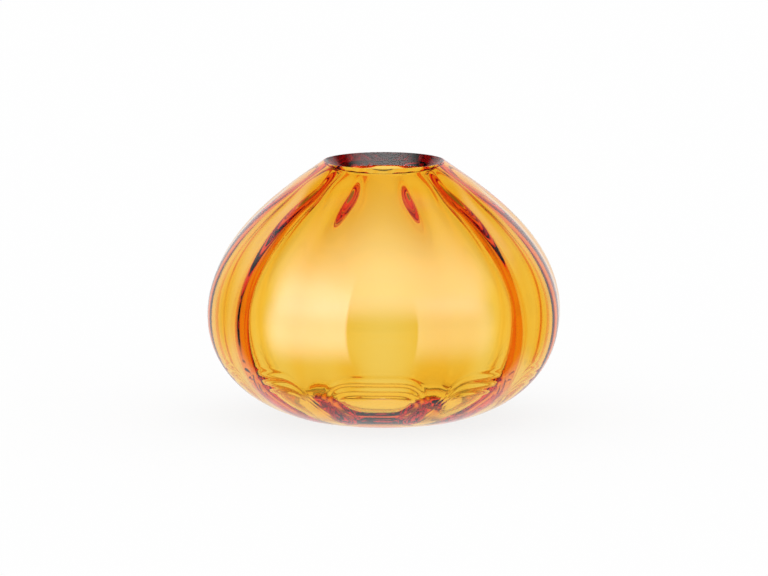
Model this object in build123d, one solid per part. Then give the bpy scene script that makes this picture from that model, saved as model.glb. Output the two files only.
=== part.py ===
"""A low ribbed vase of thick amber glass, in millimetres.

The glass is gathered twice: an inner gather round the hollow and an outer gather
over it, fused hot. +Z is up and the origin is the middle of the foot, on the table.
Ten ribs run from the foot to the shoulder with a groove between each two. The ribs
are not equally wide: the grooves that face -Y come again, turned half round, behind.
"""

import math
import os

from build123d import *

# Outer form, measured at the crests
HEIGHT = 140.0
BASE_RADIUS = 42.0
BELLY_RADIUS = 96.6
BELLY_HEIGHT = 57.0
RIM_RADIUS = 32.5

# How the outline leaves the foot, passes the belly and comes in to the rim
FOOT_SLOPE = 10.0  # degrees up from the table
FOOT_REACH = 24.0
BELLY_DROP = 34.0
SHOULDER_DROP = 41.0  # below the rim
RIM_SLOPE = 36.0  # degrees up from level
RIM_REACH = 22.0

# Hollow
BELLY_WALL = 6.2
FLOOR_THICKNESS = 7.0
FLOOR_INSET = 12.0  # the level floor stops this far inside the foot's edge
FLOOR_REACH = 44.0
HOLLOW_DROP = 24.0
HOLLOW_SHOULDER_DROP = 45.0  # below the rim
INNER_LAYER = 2.2  # thickness of the inner gather

# Lip: the flat end of the wall, square to it
LIP_THICKNESS = 8.5

# Foot
FOOT_RING = 6.0  # level ring that the vase stands on
PUNT_DEPTH = 0.6

# Ribs
NEAR_GROOVES = (-62.0, -29.0, 22.0, 57.0, 87.5)  # degrees from -Y towards +X
GROOVE_DEPTH = 3.0
GROOVE_SOFTNESS = 0.5  # 0 is a sharp crease
INNER_GROOVE_DEPTH = 7.0
INNER_GROOVE_SOFTNESS = 0.5
GROOVE_TOP = 9.0  # grooves start this far below the rim
GROOVE_TOP_RUN = 12.0  # and are full depth after this much more
GROOVE_FOOT_RUN = 22.0  # they die out over this height above the table
GROOVE_AT_FOOT = 0.12  # share of the depth that is left at the foot

# Thick drops of glass hang into the hollow at the head and the heel of each groove
HEAD_DEPTH = 4.5
HEAD_WIDTH = 5.0
HEAD_BELOW = 19.0  # its middle, below the rim
HEAD_RISE = 9.0
HEAD_TAIL = 11.0
HEEL_DEPTH = 8.0
HEEL_WIDTH = 9.0
HEEL_ABOVE = 4.0  # its middle, above the floor of the hollow
HEEL_RISE = 9.0
HEEL_TAIL = 2.5

# Fineness of the level curves that the forms are drawn through
POINTS_PER_RIB = 20
LOWER_LEVELS = 10
UPPER_LEVELS = 16
OVERRUN = 4.0  # how far a cutting form passes what it cuts

OUT = math.cos(math.radians(RIM_SLOPE))
UP = math.sin(math.radians(RIM_SLOPE))
MOUTH_RADIUS = RIM_RADIUS - LIP_THICKNESS * UP
MOUTH_HEIGHT = HEIGHT - LIP_THICKNESS * OUT
GROOVES = [angle + turn for turn in (0.0, 180.0) for angle in NEAR_GROOVES]
DROPS = (
    (HEAD_DEPTH, HEAD_WIDTH, HEIGHT - HEAD_BELOW, HEAD_RISE, HEAD_TAIL),
    (HEEL_DEPTH, HEEL_WIDTH, FLOOR_THICKNESS + HEEL_ABOVE, HEEL_RISE, HEEL_TAIL),
)


def smooth_step(value):
    """0 below 0, 1 above 1, and an even S-curve between."""
    share = min(max(value, 0.0), 1.0)
    return share * share * (3.0 - 2.0 * share)


def groove_share(height):
    """How much of their full depth the grooves have at a height."""
    foot = GROOVE_AT_FOOT + (1.0 - GROOVE_AT_FOOT) * smooth_step(height / GROOVE_FOOT_RUN)
    top = smooth_step((HEIGHT - GROOVE_TOP - height) / GROOVE_TOP_RUN)
    return foot * top


def groove_wave(across, softness):
    """Depth at a share of the way across a rib: 0 on its crest, most in the grooves beside it."""
    crest = math.sin(math.pi * across)
    return 1.0 - math.sqrt((crest**2 + softness**2) / (1.0 + softness**2))


def drop_depth(height, from_groove):
    """How far the drops hang in, at a height and a distance from a groove."""
    total = 0.0
    for depth, width, middle, rise, tail in DROPS:
        length = rise if height > middle else tail
        total += depth * math.exp(-(((height - middle) / length) ** 2) - (from_groove / width) ** 2)
    return total


def bezier(controls, share):
    """Point and unit normal, on the left of the way along, of a cubic curve."""
    weights = [(1 - share) ** 3, 3 * share * (1 - share) ** 2, 3 * share**2 * (1 - share), share**3]
    point = [sum(w * c[axis] for w, c in zip(weights, controls)) for axis in (0, 1)]
    slopes = [(1 - share) ** 2, 2 * share * (1 - share), share**2]
    steps = [[controls[i + 1][axis] - controls[i][axis] for axis in (0, 1)] for i in range(3)]
    along = [sum(s * step[axis] for s, step in zip(slopes, steps)) for axis in (0, 1)]
    length = math.hypot(*along)
    return point, (-along[1] / length, along[0] / length)


def outer_curves():
    """Foot to belly and belly to rim, as (radius, height) control points."""
    foot_turn = math.radians(FOOT_SLOPE)
    belly = (BELLY_RADIUS, BELLY_HEIGHT)
    lower = [
        (BASE_RADIUS, 0.0),
        (BASE_RADIUS + FOOT_REACH * math.cos(foot_turn), FOOT_REACH * math.sin(foot_turn)),
        (BELLY_RADIUS, BELLY_HEIGHT - BELLY_DROP),
        belly,
    ]
    upper = [
        belly,
        (BELLY_RADIUS, HEIGHT - SHOULDER_DROP),
        (RIM_RADIUS + RIM_REACH * OUT, HEIGHT - RIM_REACH * UP),
        (RIM_RADIUS, HEIGHT),
    ]
    return lower, upper


def hollow_curves():
    """Floor to belly and belly to mouth of the hollow."""
    floor_radius = BASE_RADIUS - FLOOR_INSET
    radius = BELLY_RADIUS - BELLY_WALL
    belly = (radius, BELLY_HEIGHT)
    lower = [
        (floor_radius, FLOOR_THICKNESS),
        (floor_radius + FLOOR_REACH, FLOOR_THICKNESS),
        (radius, BELLY_HEIGHT - HOLLOW_DROP),
        belly,
    ]
    upper = [
        belly,
        (radius, HEIGHT - HOLLOW_SHOULDER_DROP),
        (MOUTH_RADIUS + RIM_REACH * OUT, MOUTH_HEIGHT - RIM_REACH * UP),
        (MOUTH_RADIUS, MOUTH_HEIGHT),
    ]
    return lower, upper


def stations(curves, spread):
    """(radius, height) along two profile curves, spread outwards by a layer and run on past the lip."""
    lower, upper = curves
    along = [bezier(lower, i / LOWER_LEVELS) for i in range(LOWER_LEVELS)]
    along += [bezier(upper, i / UPPER_LEVELS) for i in range(UPPER_LEVELS + 1)]
    places = [(point[0] - spread * left[0], point[1] - spread * left[1]) for point, left in along]
    radius, height = places[-1]
    return places + [(radius - OVERRUN * OUT, height + OVERRUN * UP)]


def level_curve(radius, height, depth, softness, drops):
    """One closed level line: round crests with a groove between each two."""
    shares = []
    points = []
    for start, end in zip(GROOVES, GROOVES[1:] + [GROOVES[0] + 360.0]):
        for step in range(POINTS_PER_RIB):
            across = step / POINTS_PER_RIB
            angle = start + (end - start) * across
            reach = radius - depth * groove_share(height) * groove_wave(across, softness)
            if drops:
                from_groove = radius * math.radians(min(angle - start, end - angle))
                reach -= drop_depth(height, from_groove)
            turn = math.radians(angle)
            points.append(Vector(reach * math.sin(turn), -reach * math.cos(turn), height))
            shares.append((angle - GROOVES[0]) / 360.0)
    return Wire([Edge.make_spline(points, periodic=True, parameters=shares + [1.0])])


def ribbed_form(curves, depth, softness, spread=0.0, drops=False):
    """A solid form through level lines along two profile curves."""
    places = stations(curves, spread)
    return Solid.make_loft([level_curve(r, z, depth, softness, drops) for r, z in places])


def lip_cut():
    """All above the flat end of the wall, which runs from the rim down to the mouth."""
    rim = (RIM_RADIUS + OVERRUN * UP, HEIGHT + OVERRUN * OUT)
    mouth = (MOUTH_RADIUS - OVERRUN * UP, MOUTH_HEIGHT - OVERRUN * OUT)
    over = HEIGHT + 2.0 * OVERRUN
    half = Plane.XZ * make_face(Polyline(rim, mouth, (0, mouth[1]), (0, over), (rim[0], over), close=True))
    return revolve(half, Axis.Z)


def punt():
    """Shallow hollow under the foot, a slice of a large ball."""
    radius = BASE_RADIUS - FOOT_RING
    ball = (radius**2 + PUNT_DEPTH**2) / (2.0 * PUNT_DEPTH)
    return Pos(0, 0, PUNT_DEPTH - ball) * Sphere(ball)


def glass_body():
    """All the glass as if it were solid, with its lip and foot."""
    blank = ribbed_form(outer_curves(), GROOVE_DEPTH, GROOVE_SOFTNESS)
    return blank - lip_cut() - punt()


def layer_form():
    """The place of the inner gather and the hollow together."""
    return ribbed_form(hollow_curves(), INNER_GROOVE_DEPTH, INNER_GROOVE_SOFTNESS, spread=INNER_LAYER)


def hollow():
    """The hollow, with the drops that hang into it."""
    return ribbed_form(hollow_curves(), INNER_GROOVE_DEPTH, INNER_GROOVE_SOFTNESS, drops=True)


def outer_gather(body):
    """Outer layer: ribs, foot and most of the lip."""
    return body - layer_form()


def inner_gather(body):
    """Inner layer, from the outer one to the hollow."""
    return (body & layer_form()) - hollow()


def main():
    os.makedirs("parts", exist_ok=True)
    body = glass_body()
    nodes = {"outer_gather": outer_gather(body), "inner_gather": inner_gather(body)}
    for name, shape in nodes.items():
        export_step(shape, f"parts/{name}.step")
        print(name, "volume", round(shape.volume / 1000.0, 1), "cm3", "solids", len(shape.solids()))


main()
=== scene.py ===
"""Ribbed amber glass vase on a pale studio floor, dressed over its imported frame."""

import math

import bmesh
import bpy
import numpy as np
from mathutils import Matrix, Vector


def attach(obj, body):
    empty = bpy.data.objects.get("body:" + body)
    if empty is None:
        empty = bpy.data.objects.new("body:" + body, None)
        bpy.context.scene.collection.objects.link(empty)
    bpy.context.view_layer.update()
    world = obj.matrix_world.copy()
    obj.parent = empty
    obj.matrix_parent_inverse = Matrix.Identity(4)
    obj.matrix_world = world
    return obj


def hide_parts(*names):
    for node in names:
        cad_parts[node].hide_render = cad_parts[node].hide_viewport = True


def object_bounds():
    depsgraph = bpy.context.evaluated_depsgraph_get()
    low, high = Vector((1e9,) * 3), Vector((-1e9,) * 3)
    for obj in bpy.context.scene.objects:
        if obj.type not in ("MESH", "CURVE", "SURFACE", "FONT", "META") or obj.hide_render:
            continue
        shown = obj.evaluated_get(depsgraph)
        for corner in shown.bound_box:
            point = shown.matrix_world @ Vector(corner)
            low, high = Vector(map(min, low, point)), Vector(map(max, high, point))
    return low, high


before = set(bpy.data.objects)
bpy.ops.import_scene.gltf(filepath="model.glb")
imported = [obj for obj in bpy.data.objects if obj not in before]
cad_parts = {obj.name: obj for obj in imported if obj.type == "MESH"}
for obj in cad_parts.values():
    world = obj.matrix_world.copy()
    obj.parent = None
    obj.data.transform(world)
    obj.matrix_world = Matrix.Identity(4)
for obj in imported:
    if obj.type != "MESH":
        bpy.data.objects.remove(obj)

CAD_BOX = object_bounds()
MM = 0.001
WHITE = (1.0, 1.0, 1.0, 1.0)

# Overall sizes come from the frame, the rest repeats the part's own sizes
HEIGHT = CAD_BOX[1][2]
BELLY_RADIUS = CAD_BOX[1][1]
BASE_RADIUS = 42.0 * MM
BELLY_HEIGHT = 57.0 * MM
RIM_RADIUS = 32.5 * MM

# How the outline leaves the foot, passes the belly and comes in to the rim
FOOT_SLOPE = math.radians(10.0)
FOOT_REACH = 24.0 * MM
BELLY_DROP = 34.0 * MM
SHOULDER_DROP = 41.0 * MM  # below the rim
RIM_SLOPE = math.radians(36.0)
RIM_REACH = 22.0 * MM

# Hollow, lip and foot
BELLY_WALL = 6.2 * MM
FLOOR_THICKNESS = 7.0 * MM
FLOOR_INSET = 12.0 * MM
FLOOR_REACH = 44.0 * MM
HOLLOW_DROP = 24.0 * MM
HOLLOW_SHOULDER_DROP = 45.0 * MM  # below the rim
LIP_THICKNESS = 8.5 * MM
LIP_ROUND = 0.5 * MM
FOOT_RING = 6.0 * MM
PUNT_DEPTH = 0.6 * MM

# Ribs: the grooves on the near side, in degrees from -Y towards +X, come again on the far side
NEAR_GROOVES = (-62.0, -29.0, 22.0, 57.0, 87.5)
GROOVE_DEPTH = 3.0 * MM
GROOVE_SOFTNESS = 0.5  # 0 is a sharp crease
INNER_GROOVE_DEPTH = 7.0 * MM
INNER_GROOVE_SOFTNESS = 0.5
GROOVE_TOP = 9.0 * MM  # they start this far below the rim
GROOVE_TOP_RUN = 12.0 * MM
GROOVE_FOOT_RUN = 22.0 * MM
GROOVE_AT_FOOT = 0.12  # share of the depth that is left at the foot

# Thick drops of glass hang into the hollow at the head and the heel of each groove
HEAD_DEPTH = 4.5 * MM
HEAD_WIDTH = 5.0 * MM
HEAD_BELOW = 19.0 * MM  # its middle, below the rim
HEAD_RISE = 9.0 * MM
HEAD_TAIL = 11.0 * MM
HEEL_DEPTH = 8.0 * MM
HEEL_WIDTH = 9.0 * MM
HEEL_ABOVE = 4.0 * MM  # its middle, above the floor of the hollow
HEEL_RISE = 9.0 * MM
HEEL_TAIL = 2.5 * MM

# Chill ripples in the heel of the hollow, higher on the crests
RIPPLE_DEPTH = 0.18 * MM
RIPPLE_PITCH = 5.0 * MM
RIPPLE_STOPS = (8.0 * MM, 12.0 * MM, 18.0 * MM, 24.0 * MM)
RIPPLE_LIFT = 14.0 * MM
RIPPLE_BEND = 3  # how sharply they dip at the grooves

# Fineness of the glass mesh
POINTS_PER_RIB = 60
CURVE_RINGS = 64
HEEL_RINGS = 160
SHORT_RINGS = 12

# Amber: what a metre of the glass takes from red, green and blue
GLASS_IOR = 1.5
TAKEN = (2.5, 37.0, 190.0)

# Hand-made face: soft waves, fine upright streaks and faint changes of polish. Scales are per metre.
WAVE_SCALE = 28.0
WAVE_STRETCH = 0.5
WAVE_HEIGHT = 0.2 * MM
STREAK_SCALE = 160.0
STREAK_STRETCH = 0.06
STREAK_HEIGHT = 0.02 * MM
POLISH_SCALE = 12.0
POLISH_NOISE = (0.35, 0.65)  # the middle of the noise spans the whole range of roughness
ROUGHNESS = (0.0, 0.012)

# Camera: the photograph is near to a parallel view
VIEW_AZIMUTH = math.radians(0.0)
VIEW_ELEVATION = math.radians(8.6)
VIEW_DISTANCE = 6.0
VIEW_LIMIT = 100.0
VIEW_CENTRE = Vector((0.0, 0.0, 70.0 * MM))
IMAGE_WIDTH = 768
PIXEL_SIZE = 0.5416 * MM
SENSOR = 36.0

# Studio floor
STAGE_RADIUS = 4.0
STAGE_CORNERS = 96
STAGE_GAP = 0.1 * MM  # it lies this far under the foot
STAGE_COLOUR = (0.97, 0.97, 0.97, 1.0)
STAGE_ROUGHNESS = 0.9
STAGE_GLOW = 0.85  # share of its look that is plain white to the camera
PAINTED_SHADOW_STOPS = (37.0 * MM, 40.0 * MM, 44.0 * MM, 52.0 * MM)  # in the glass, a painted shadow: a dark ring on the floor at the foot
# How bright the floor's glow stays inside that painted shadow ring
PAINTED_SHADOW_LIGHT = 0.15
FADE_STOPS = (0.6, 3.0)  # in the glass, it fades into the wall's foot or the room over this distance

# Studio round the vase: a lit wall behind it, a dim room, and three soft lights that show only in
# the mirror of the glass's outer face. The four degrees are where each starts, is full, is still
# full and ends. Turns are from the camera's side, below 0 to the left, and heights are from level.
ROOM = 0.3  # seen through the glass
MIRRORED_ROOM = 0.05  # seen in its outer face
HORIZON = 0.9  # the wall's foot
HORIZON_HEIGHT = math.radians(10.0)
WALL_TURNS = (75.0, 95.0, 200.0, 210.0)  # to either side, and whole behind
WALL_SHIFT = 42.0  # in the outer face it starts this much later
WALL_HEIGHTS = (-95.0, -91.0, 26.0, 38.0)  # whole all the way down
FRONT_LEANS = (-70.0, -42.0, 42.0, 70.0)  # to the left or right of upright
FRONT_PITCHES = (4.0, 34.0, 52.0, 110.0)  # up from the camera's side and over the top
FRONT_GLOW = 4.0
LEFT_TURNS = (-84.0, -60.0, -31.0, -28.0)
LEFT_HEIGHTS = (-45.0, -8.0, 8.0, 58.0)
LEFT_GLOW = 5.6
RIGHT_TURNS = (28.0, 30.0, 58.0, 80.0)
RIGHT_HEIGHTS = (-45.0, -8.0, 0.0, 42.0)
RIGHT_GLOW = 2.8

# Depth that the renderer counts for light of one mirror bounce, on the floor and in the world
STAGE_DEPTH = 1
WORLD_DEPTH = 2

# How often light may bounce
BOUNCES = 24
MIRROR_BOUNCES = 16

# Worked out from the sizes above
RIM_OUT = math.cos(RIM_SLOPE)
RIM_UP = math.sin(RIM_SLOPE)
MOUTH_RADIUS = RIM_RADIUS - LIP_THICKNESS * RIM_UP
MOUTH_HEIGHT = HEIGHT - LIP_THICKNESS * RIM_OUT
HOLLOW_FLOOR_RADIUS = BASE_RADIUS - FLOOR_INSET
DROPS = (
    (HEAD_DEPTH, HEAD_WIDTH, HEIGHT - HEAD_BELOW, HEAD_RISE, HEAD_TAIL),
    (HEEL_DEPTH, HEEL_WIDTH, FLOOR_THICKNESS + HEEL_ABOVE, HEEL_RISE, HEEL_TAIL),
)
RIBS = 2 * len(NEAR_GROOVES)
GROOVE_ANGLES = np.radians([angle + turn for turn in (0.0, 180.0, 360.0) for angle in NEAR_GROOVES])
ANGLES = np.concatenate(
    [
        np.linspace(start, end, POINTS_PER_RIB, endpoint=False)
        for start, end in zip(GROOVE_ANGLES[:RIBS], GROOVE_ANGLES[1:])
    ]
)
FROM_GROOVE = np.abs(ANGLES[:, None] - GROOVE_ANGLES[None, :]).min(axis=1)


def smooth_step(value):
    """0 below 0, 1 above 1, and an even S-curve between."""
    share = min(max(value, 0.0), 1.0)
    return share * share * (3.0 - 2.0 * share)


def groove_share(height):
    """How much of their full depth the grooves have at a height."""
    foot = GROOVE_AT_FOOT + (1.0 - GROOVE_AT_FOOT) * smooth_step(height / GROOVE_FOOT_RUN)
    top = smooth_step((HEIGHT - GROOVE_TOP - height) / GROOVE_TOP_RUN)
    return foot * top


def groove_wave(softness):
    """Depth at each angle of a level ring: 0 on the crests and most in the grooves."""
    across = np.tile(np.linspace(0.0, math.pi, POINTS_PER_RIB, endpoint=False), RIBS)
    return 1.0 - np.sqrt((np.sin(across) ** 2 + softness**2) / (1.0 + softness**2))


def drop_reach(radius, height):
    """How far the drops hang into the hollow at each angle of a level ring."""
    reach = np.zeros_like(ANGLES)
    for depth, width, middle, rise, tail in DROPS:
        length = rise if height > middle else tail
        from_middle = (height - middle) / length
        reach += depth * np.exp(-(from_middle**2) - (FROM_GROOVE * radius / width) ** 2)
    return reach


def ripple_reach(height, wave):
    """How far the ripples stand in at each angle of a level ring of the hollow."""
    lifted = height - RIPPLE_LIFT * (1.0 - (wave / wave.max()) ** RIPPLE_BEND)
    start, full, still_full, end = RIPPLE_STOPS
    rise = np.clip((lifted - start) / (full - start), 0.0, 1.0)
    fall = np.clip((end - lifted) / (end - still_full), 0.0, 1.0)
    return RIPPLE_DEPTH * rise * fall * np.sin(2.0 * math.pi * lifted / RIPPLE_PITCH)


def bezier(controls, count):
    """Evenly stepped (radius, height) points of a cubic curve."""
    share = np.linspace(0.0, 1.0, count)[:, None]
    rest = 1.0 - share
    start, leave, arrive, end = (np.array(point) for point in controls)
    return start * rest**3 + 3 * leave * share * rest**2 + 3 * arrive * share**2 * rest + end * share**3


def outer_profile():
    """Foot edge to rim at the crests."""
    belly = (BELLY_RADIUS, BELLY_HEIGHT)
    lower = (
        (BASE_RADIUS, 0.0),
        (BASE_RADIUS + FOOT_REACH * math.cos(FOOT_SLOPE), FOOT_REACH * math.sin(FOOT_SLOPE)),
        (BELLY_RADIUS, BELLY_HEIGHT - BELLY_DROP),
        belly,
    )
    upper = (
        belly,
        (BELLY_RADIUS, HEIGHT - SHOULDER_DROP),
        (RIM_RADIUS + RIM_REACH * RIM_OUT, HEIGHT - RIM_REACH * RIM_UP),
        (RIM_RADIUS, HEIGHT),
    )
    return np.concatenate([bezier(lower, CURVE_RINGS), bezier(upper, CURVE_RINGS)[1:-1]])


def hollow_profile():
    """Mouth down to the edge of the level floor, at the crests."""
    radius = BELLY_RADIUS - BELLY_WALL
    belly = (radius, BELLY_HEIGHT)
    lower = (
        (HOLLOW_FLOOR_RADIUS, FLOOR_THICKNESS),
        (HOLLOW_FLOOR_RADIUS + FLOOR_REACH, FLOOR_THICKNESS),
        (radius, BELLY_HEIGHT - HOLLOW_DROP),
        belly,
    )
    upper = (
        belly,
        (radius, HEIGHT - HOLLOW_SHOULDER_DROP),
        (MOUTH_RADIUS + RIM_REACH * RIM_OUT, MOUTH_HEIGHT - RIM_REACH * RIM_UP),
        (MOUTH_RADIUS, MOUTH_HEIGHT),
    )
    return np.concatenate([bezier(lower, HEEL_RINGS), bezier(upper, CURVE_RINGS)[1:-1]])[::-1]


def lip_profile():
    """Rim edge over the flat end of the wall to the mouth's edge, with both edges a little rounded."""
    up_wall = np.array([-RIM_OUT, RIM_UP])
    across = np.array([-RIM_UP, -RIM_OUT])
    rim = np.array([RIM_RADIUS, HEIGHT])
    turns = np.linspace(0.0, math.pi / 2.0, SHORT_RINGS)[:, None]
    start = rim - LIP_ROUND * up_wall + LIP_ROUND * across
    end = rim - LIP_ROUND * up_wall + (LIP_THICKNESS - LIP_ROUND) * across
    outer_edge = start - LIP_ROUND * np.cos(turns) * across + LIP_ROUND * np.sin(turns) * up_wall
    inner_edge = end + LIP_ROUND * np.sin(turns) * across + LIP_ROUND * np.cos(turns) * up_wall
    return np.concatenate([outer_edge, inner_edge])


def punt_profile():
    """Under the foot, from near the middle to the foot's edge."""
    radius = BASE_RADIUS - FOOT_RING
    radii = np.linspace(radius / SHORT_RINGS, radius, SHORT_RINGS)
    punt = np.stack([radii, PUNT_DEPTH * (1.0 - (radii / radius) ** 2)], axis=1)
    level = np.linspace(radius, BASE_RADIUS, SHORT_RINGS // 2)[1:-1]
    return np.concatenate([punt, np.stack([level, np.zeros_like(level)], axis=1)])


def ring_points(reach, height):
    """One level ring of mesh points."""
    return np.stack([reach * np.sin(ANGLES), -reach * np.cos(ANGLES), np.full_like(reach, height)], axis=1)


def glass_rings():
    """Every ring of the glass, from under the foot, up the outside and down the inside."""
    plain = np.zeros_like(ANGLES)
    outer_wave = groove_wave(GROOVE_SOFTNESS)
    inner_wave = groove_wave(INNER_GROOVE_SOFTNESS)
    rings = [ring_points(plain + radius, height) for radius, height in punt_profile()]
    for radius, height in outer_profile():
        groove = GROOVE_DEPTH * groove_share(height) * outer_wave
        rings.append(ring_points(radius - groove, height))
    rings += [ring_points(plain + radius, height) for radius, height in lip_profile()]
    for radius, height in hollow_profile():
        groove = INNER_GROOVE_DEPTH * groove_share(height) * inner_wave
        inward = groove + drop_reach(radius, height) + ripple_reach(height, inner_wave)
        rings.append(ring_points(radius - inward, height))
    # On the level floor the grooves die out towards the middle
    for share in np.linspace(1.0, 0.0, SHORT_RINGS)[1:-1]:
        groove = INNER_GROOVE_DEPTH * groove_share(FLOOR_THICKNESS) * share**2 * inner_wave
        rings.append(ring_points(HOLLOW_FLOOR_RADIUS * share - groove, FLOOR_THICKNESS))
    return rings


def closed_skin(name, rings):
    """A smooth closed mesh through rings of equal count, capped at both ends."""
    count = len(ANGLES)
    points = np.concatenate(rings + [rings[0].mean(axis=0)[None], rings[-1].mean(axis=0)[None]])
    first_cap = len(rings) * count
    last_cap = first_cap + 1
    last_ring = first_cap - count
    faces = []
    for here in range(count):
        beside = (here + 1) % count
        faces.append((first_cap, beside, here))
        faces.append((last_cap, last_ring + here, last_ring + beside))
        for ring in range(0, last_ring, count):
            following = ring + count
            faces.append((ring + here, ring + beside, following + beside, following + here))
    mesh = bpy.data.meshes.new(name)
    mesh.from_pydata(points.tolist(), [], faces)
    skin = bmesh.new()
    skin.from_mesh(mesh)
    bmesh.ops.recalc_face_normals(skin, faces=skin.faces)
    skin.to_mesh(mesh)
    skin.free()
    mesh.shade_smooth()
    piece = bpy.data.objects.new(name, mesh)
    bpy.context.scene.collection.objects.link(piece)
    return piece


def feed(tree, sockets, values):
    """Give each socket its value, which is another node's output or a plain number."""
    for socket, value in zip(sockets, values):
        if isinstance(value, bpy.types.NodeSocket):
            tree.links.new(value, socket)
        else:
            socket.default_value = value


def calculate(tree, operation, *values):
    """One step of arithmetic on outputs and plain numbers."""
    node = tree.nodes.new("ShaderNodeMath")
    node.operation = operation
    feed(tree, node.inputs, values)
    return node.outputs["Value"]


def product(tree, *factors):
    """All the factors multiplied together."""
    total = factors[0]
    for factor in factors[1:]:
        total = calculate(tree, "MULTIPLY", total, factor)
    return total


def map_range(tree, value, low, high, to_low=0.0, to_high=1.0):
    """From to_low at low to to_high at high, eased between."""
    node = tree.nodes.new("ShaderNodeMapRange")
    node.interpolation_type = "SMOOTHSTEP"
    names = ("Value", "From Min", "From Max", "To Min", "To Max")
    feed(tree, [node.inputs[name] for name in names], (value, low, high, to_low, to_high))
    return node.outputs["Result"]


def window(tree, value, stops):
    """1 between the two middle stops and gone at the outer ones."""
    start, full, still_full, end = stops
    rise = map_range(tree, value, start, full)
    fall = map_range(tree, value, end, still_full)
    return product(tree, rise, fall)


def blend(tree, share, low, high):
    """A number that passes from low to high with the share."""
    node = tree.nodes.new("ShaderNodeMix")
    node.data_type = "FLOAT"
    feed(tree, [node.inputs[name] for name in ("Factor", "A", "B")], (share, low, high))
    return node.outputs["Result"]


def mix_shaders(tree, share, first, second):
    """A look that passes from the first to the second with the share."""
    node = tree.nodes.new("ShaderNodeMixShader")
    feed(tree, node.inputs, (share, first, second))
    return node.outputs["Shader"]


def split_vector(tree, vector):
    """The vector's X, Y and Z."""
    node = tree.nodes.new("ShaderNodeSeparateXYZ")
    tree.links.new(vector, node.inputs["Vector"])
    return [node.outputs[axis] for axis in "XYZ"]


def angle_from_camera(tree, off, away):
    """Angle from the camera's side, for a reach off to one side or up and a reach away from it."""
    return calculate(tree, "ARCTAN2", off, product(tree, away, -1.0))


def met_glass(tree):
    """1 for rays that leave the glass or a polished face, 0 for the others."""
    path = tree.nodes.new("ShaderNodeLightPath")
    return calculate(tree, "MAXIMUM", path.outputs["Is Glossy Ray"], path.outputs["Is Transmission Ray"])


def outer_mirror(tree, depth):
    """1 for light that the outer face of the glass mirrors straight to the view, 0 for the rest."""
    path = tree.nodes.new("ShaderNodeLightPath")
    first = calculate(tree, "LESS_THAN", path.outputs["Ray Depth"], depth + 0.5)
    return product(tree, path.outputs["Is Reflection Ray"], first)


def stretched_noise(tree, scale, stretch):
    """Noise over the piece, drawn out upwards."""
    mapping = tree.nodes.new("ShaderNodeMapping")
    mapping.inputs["Scale"].default_value = (1.0, 1.0, stretch)
    tree.links.new(tree.nodes.new("ShaderNodeTexCoord").outputs["Object"], mapping.inputs["Vector"])
    noise = tree.nodes.new("ShaderNodeTexNoise")
    noise.inputs["Scale"].default_value = scale
    tree.links.new(mapping.outputs["Vector"], noise.inputs["Vector"])
    return noise.outputs[0]


def bump(tree, height, distance, normal=None):
    """A normal bent by a height, over an earlier bump if there is one."""
    node = tree.nodes.new("ShaderNodeBump")
    node.inputs["Distance"].default_value = distance
    tree.links.new(height, node.inputs["Height"])
    if normal:
        tree.links.new(normal, node.inputs["Normal"])
    return node.outputs["Normal"]


def new_material(name):
    """A material and its node tree."""
    material = bpy.data.materials.new(name)
    material.use_nodes = True
    return material, material.node_tree


def amber_glass():
    """Clear polished glass that takes most of the blue and some of the green."""
    material, tree = new_material("amber_glass")
    shader = tree.nodes["Principled BSDF"]
    shader.inputs["Base Color"].default_value = WHITE
    shader.inputs["Transmission Weight"].default_value = 1.0
    shader.inputs["IOR"].default_value = GLASS_IOR
    polish = stretched_noise(tree, POLISH_SCALE, WAVE_STRETCH)
    tree.links.new(map_range(tree, polish, *POLISH_NOISE, *ROUGHNESS), shader.inputs["Roughness"])
    waves = bump(tree, stretched_noise(tree, WAVE_SCALE, WAVE_STRETCH), WAVE_HEIGHT)
    streaks = stretched_noise(tree, STREAK_SCALE, STREAK_STRETCH)
    tree.links.new(bump(tree, streaks, STREAK_HEIGHT, waves), shader.inputs["Normal"])
    density = max(TAKEN)
    body = tree.nodes.new("ShaderNodeVolumeAbsorption")
    body.inputs["Color"].default_value = (*(1.0 - taken / density for taken in TAKEN), 1.0)
    body.inputs["Density"].default_value = density
    tree.links.new(body.outputs["Volume"], tree.nodes["Material Output"].inputs["Volume"])
    return material


def make_vase():
    """The glass as one fused body, which stands for both layers."""
    vase = closed_skin("vase_glass", glass_rings())
    vase.data.materials.append(amber_glass())
    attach(vase, "root")
    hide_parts("outer_gather", "inner_gather")


def floor_light(tree):
    """How white the floor is: plain to the camera, and in the glass darkened by a painted shadow ring at
    the foot and dimmer far away.
    """
    place = tree.nodes.new("ShaderNodeTexCoord").outputs["Object"]
    from_axis = tree.nodes.new("ShaderNodeVectorMath")
    from_axis.operation = "LENGTH"
    tree.links.new(place, from_axis.inputs[0])
    distance = from_axis.outputs["Value"]
    # Painted shadow: the floor's glow is dimmed in a ring round the foot, seen only through the glass
    in_painted_shadow = window(tree, distance, PAINTED_SHADOW_STOPS)
    painted_shadow = map_range(tree, in_painted_shadow, 0.0, 1.0, 1.0, PAINTED_SHADOW_LIGHT)
    x, y = split_vector(tree, place)[:2]
    aside = calculate(tree, "ABSOLUTE", angle_from_camera(tree, x, y))
    behind = window(tree, aside, np.radians(WALL_TURNS))
    far = map_range(tree, behind, 0.0, 1.0, ROOM, HORIZON)
    faded = blend(tree, map_range(tree, distance, *FADE_STOPS), 1.0, far)
    return blend(tree, met_glass(tree), 1.0, product(tree, painted_shadow, faded))


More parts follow.
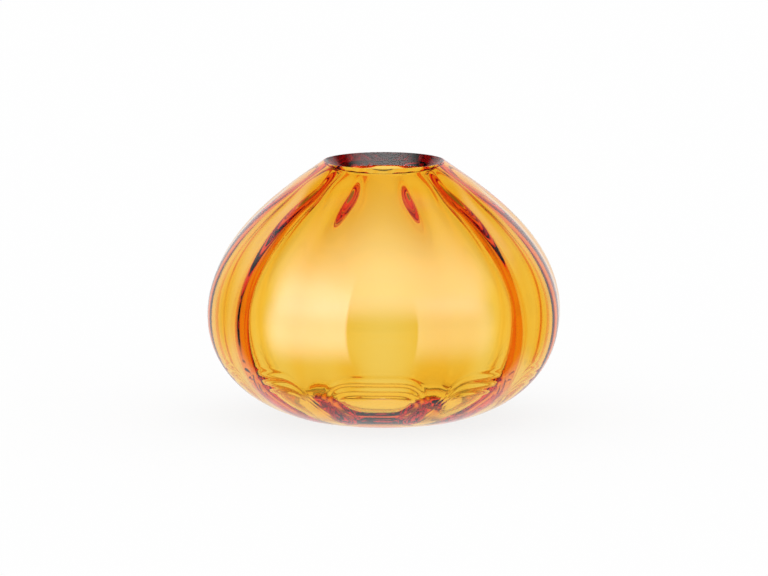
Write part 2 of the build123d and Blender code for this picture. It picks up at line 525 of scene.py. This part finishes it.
def pale_floor():
    """White with a faint shadow to the camera, plain light with a painted shadow ring at the foot in the
    glass, clear to its outer mirror.
    """
    material, tree = new_material("pale_floor")
    matt = tree.nodes["Principled BSDF"]
    matt.inputs["Base Color"].default_value = STAGE_COLOUR
    matt.inputs["Roughness"].default_value = STAGE_ROUGHNESS
    matt.inputs["Specular IOR Level"].default_value = 0.0
    white = tree.nodes.new("ShaderNodeEmission")
    tree.links.new(floor_light(tree), white.inputs["Strength"])
    clear = tree.nodes.new("ShaderNodeBsdfTransparent")
    to_camera = tree.nodes.new("ShaderNodeLightPath").outputs["Is Camera Ray"]
    glow = calculate(tree, "MULTIPLY_ADD", to_camera, STAGE_GLOW, met_glass(tree))
    lit = mix_shaders(tree, glow, matt.outputs["BSDF"], white.outputs["Emission"])
    seen = mix_shaders(tree, outer_mirror(tree, STAGE_DEPTH), lit, clear.outputs["BSDF"])
    tree.links.new(seen, tree.nodes["Material Output"].inputs["Surface"])
    return material


def make_floor():
    """A wide level disc just under the foot."""
    bpy.ops.mesh.primitive_circle_add(
        vertices=STAGE_CORNERS, radius=STAGE_RADIUS, fill_type="NGON", location=(0.0, 0.0, -STAGE_GAP)
    )
    floor = bpy.context.object
    floor.name = "floor"
    floor.data.materials.append(pale_floor())


def patch(tree, across, across_stops, up, up_stops):
    """1 inside a soft-edged patch of the studio, given by two angles, and 0 outside it."""
    sideways = window(tree, across, np.radians(across_stops))
    upright = window(tree, up, np.radians(up_stops))
    return product(tree, sideways, upright)


def wall_and_room(tree, turn, height, mirrored):
    """The lit wall behind the vase and the dim room round it."""
    to_side = calculate(tree, "ABSOLUTE", turn)
    aside = calculate(tree, "MULTIPLY_ADD", mirrored, -math.radians(WALL_SHIFT), to_side)
    wall = map_range(tree, height, 0.0, HORIZON_HEIGHT, HORIZON, 1.0)
    room = blend(tree, mirrored, ROOM, MIRRORED_ROOM)
    return blend(tree, patch(tree, aside, WALL_TURNS, height, WALL_HEIGHTS), room, wall)


def make_studio():
    """World light: plain white for the floor and the view, the studio for the glass."""
    world = bpy.data.worlds.new("studio")
    bpy.context.scene.world = world
    world.use_nodes = True
    tree = world.node_tree
    x, y, z = split_vector(tree, tree.nodes.new("ShaderNodeTexCoord").outputs["Generated"])
    turn = angle_from_camera(tree, x, y)
    height = calculate(tree, "ARCSINE", z)
    lean = calculate(tree, "ARCSINE", x)
    pitch = angle_from_camera(tree, z, y)
    mirrored = outer_mirror(tree, WORLD_DEPTH)
    seen = wall_and_room(tree, turn, height, mirrored)
    lights = (
        (FRONT_GLOW, lean, FRONT_LEANS, pitch, FRONT_PITCHES),
        (LEFT_GLOW, turn, LEFT_TURNS, height, LEFT_HEIGHTS),
        (RIGHT_GLOW, turn, RIGHT_TURNS, height, RIGHT_HEIGHTS),
    )
    for glow, *place in lights:
        lit = product(tree, patch(tree, *place), mirrored, glow)
        seen = calculate(tree, "ADD", seen, lit)
    background = tree.nodes["Background"]
    background.inputs["Color"].default_value = WHITE
    tree.links.new(blend(tree, met_glass(tree), 1.0, seen), background.inputs["Strength"])


def make_camera():
    """A long lens far away, at the photograph's height and turn."""
    camera = bpy.data.cameras.new("camera")
    camera.sensor_width = SENSOR
    camera.lens = SENSOR * VIEW_DISTANCE / (IMAGE_WIDTH * PIXEL_SIZE)
    camera.clip_end = VIEW_LIMIT
    holder = bpy.data.objects.new("camera", camera)
    back = Vector(
        (
            math.sin(VIEW_AZIMUTH) * math.cos(VIEW_ELEVATION),
            -math.cos(VIEW_AZIMUTH) * math.cos(VIEW_ELEVATION),
            math.sin(VIEW_ELEVATION),
        )
    )
    holder.location = VIEW_CENTRE + back * VIEW_DISTANCE
    holder.rotation_euler = (-back).to_track_quat("-Z", "Y").to_euler()
    bpy.context.scene.collection.objects.link(holder)
    bpy.context.scene.camera = holder


def set_render():
    """Plain colours, and enough bounces for light to cross the glass many times."""
    scene = bpy.context.scene
    scene.view_settings.view_transform = "Standard"
    scene.cycles.max_bounces = BOUNCES
    scene.cycles.transmission_bounces = BOUNCES
    scene.cycles.glossy_bounces = MIRROR_BOUNCES
    scene.cycles.transparent_max_bounces = BOUNCES


make_vase()
make_floor()
make_studio()
make_camera()
set_render()
